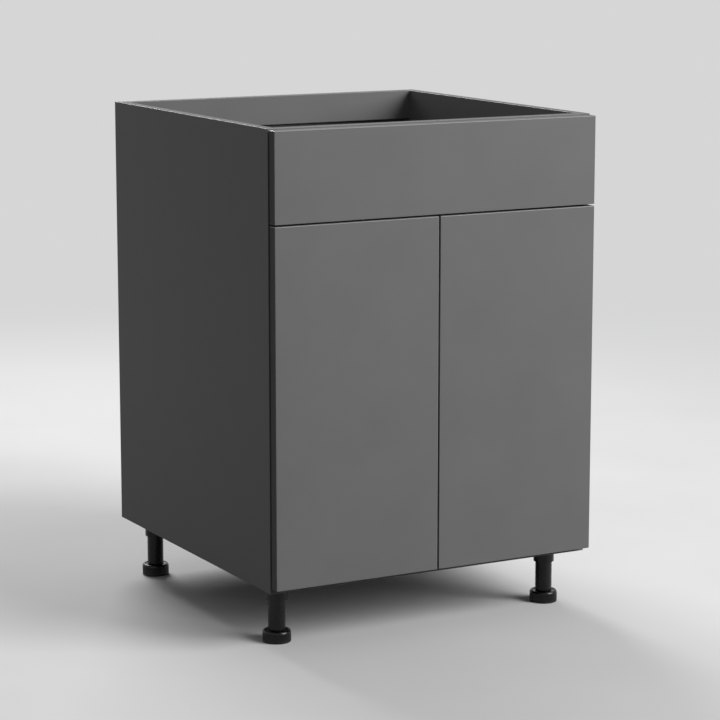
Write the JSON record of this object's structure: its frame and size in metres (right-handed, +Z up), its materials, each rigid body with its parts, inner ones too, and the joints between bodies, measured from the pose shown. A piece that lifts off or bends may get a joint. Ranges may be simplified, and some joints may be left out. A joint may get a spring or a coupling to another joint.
{
  "type": "sink base cabinet",
  "caption": "Open-topped kitchen base cabinet for a sink: flat fixed fascia above flat handleless doors on concealed hinges, on black adjustable legs.",
  "frame": {"origin": "middle of the outline at floor level, under the feet", "axes": "+X to the right seen from the front, +Y from the fronts to the wall, +Z up"},
  "size_m": [0.61, 0.6316, 0.862],
  "materials": {
    "board_grey": "matt grey melamine on chipboard",
    "back_board": "matt grey lacquered fibreboard",
    "banding_grey": "satin grey edge banding",
    "beech": "bare fluted beech",
    "zinc_casting": "die-cast, dull",
    "zinc_plated_steel": "zinc-plated",
    "nickel_plated_steel": "nickel-plated, satin",
    "bumper_clear": "clear soft plastic",
    "leg_black": "moulded black, slight sheen"
  },
  "bodies": {
    "carcass": {"side_panel_left": "board_grey", "side_panel_right": "board_grey", "bottom_panel": "board_grey", "back_panel": "back_board", "front_rail": "board_grey", "rear_rail": "board_grey", "carcass_edging": "banding_grey", "cam_housings": "zinc_casting", "cam_bolts": "zinc_plated_steel", "dowels": "beech", "back_screws": "zinc_plated_steel", "fascia_panel": "board_grey", "fascia_edging": "banding_grey", "fascia_screws": "zinc_plated_steel", "fascia_bumpers": "bumper_clear", "hinge_plates_left": "zinc_casting", "hinge_plates_right": "zinc_casting", "hinge_plate_screws_left": "nickel_plated_steel", "hinge_plate_screws_right": "nickel_plated_steel", "hinge_arms_left": "nickel_plated_steel", "hinge_arms_right": "nickel_plated_steel", "hinge_arm_screws_left": "nickel_plated_steel", "hinge_arm_screws_right": "nickel_plated_steel", "leg_socket_front_left": "leg_black", "leg_socket_front_right": "leg_black", "leg_socket_rear_left": "leg_black", "leg_socket_rear_right": "leg_black", "leg_tube_front_left": "leg_black", "leg_tube_front_right": "leg_black", "leg_tube_rear_left": "leg_black", "leg_tube_rear_right": "leg_black", "leg_screws": "zinc_plated_steel"},
    "door_left": {"door_panel_left": "board_grey", "door_edging_left": "banding_grey", "door_bumpers_left": "bumper_clear", "hinge_cups_left": "nickel_plated_steel", "hinge_cup_screws_left": "nickel_plated_steel", "hinge_pins_left": "nickel_plated_steel"},
    "door_right": {"door_panel_right": "board_grey", "door_edging_right": "banding_grey", "door_bumpers_right": "bumper_clear", "hinge_cups_right": "nickel_plated_steel", "hinge_cup_screws_right": "nickel_plated_steel", "hinge_pins_right": "nickel_plated_steel"},
    "foot_front_left": {"leg_foot_front_left": "leg_black"},
    "foot_front_right": {"leg_foot_front_right": "leg_black"},
    "foot_rear_left": {"leg_foot_rear_left": "leg_black"},
    "foot_rear_right": {"leg_foot_rear_right": "leg_black"}
  },
  "joints": [
    {"name": "door_left_hinge", "type": "hinge", "parent": "carcass", "child": "door_left", "pos_m": [-0.2962, -0.30875, 0.408], "axis": [0, 0, -1], "range_deg": [0, 100]},
    {"name": "door_right_hinge", "type": "hinge", "parent": "carcass", "child": "door_right", "pos_m": [0.2962, -0.30875, 0.408], "axis": [0, 0, 1], "range_deg": [0, 100]},
    {"name": "foot_front_left_screw", "type": "slide", "parent": "carcass", "child": "foot_front_left", "axis": [0, 0, -1], "range_m": [0, 0.02]},
    {"name": "foot_front_right_screw", "type": "slide", "parent": "carcass", "child": "foot_front_right", "axis": [0, 0, -1], "range_m": [0, 0.02]},
    {"name": "foot_rear_left_screw", "type": "slide", "parent": "carcass", "child": "foot_rear_left", "axis": [0, 0, -1], "range_m": [0, 0.02]},
    {"name": "foot_rear_right_screw", "type": "slide", "parent": "carcass", "child": "foot_rear_right", "axis": [0, 0, -1], "range_m": [0, 0.02]}
  ]
}
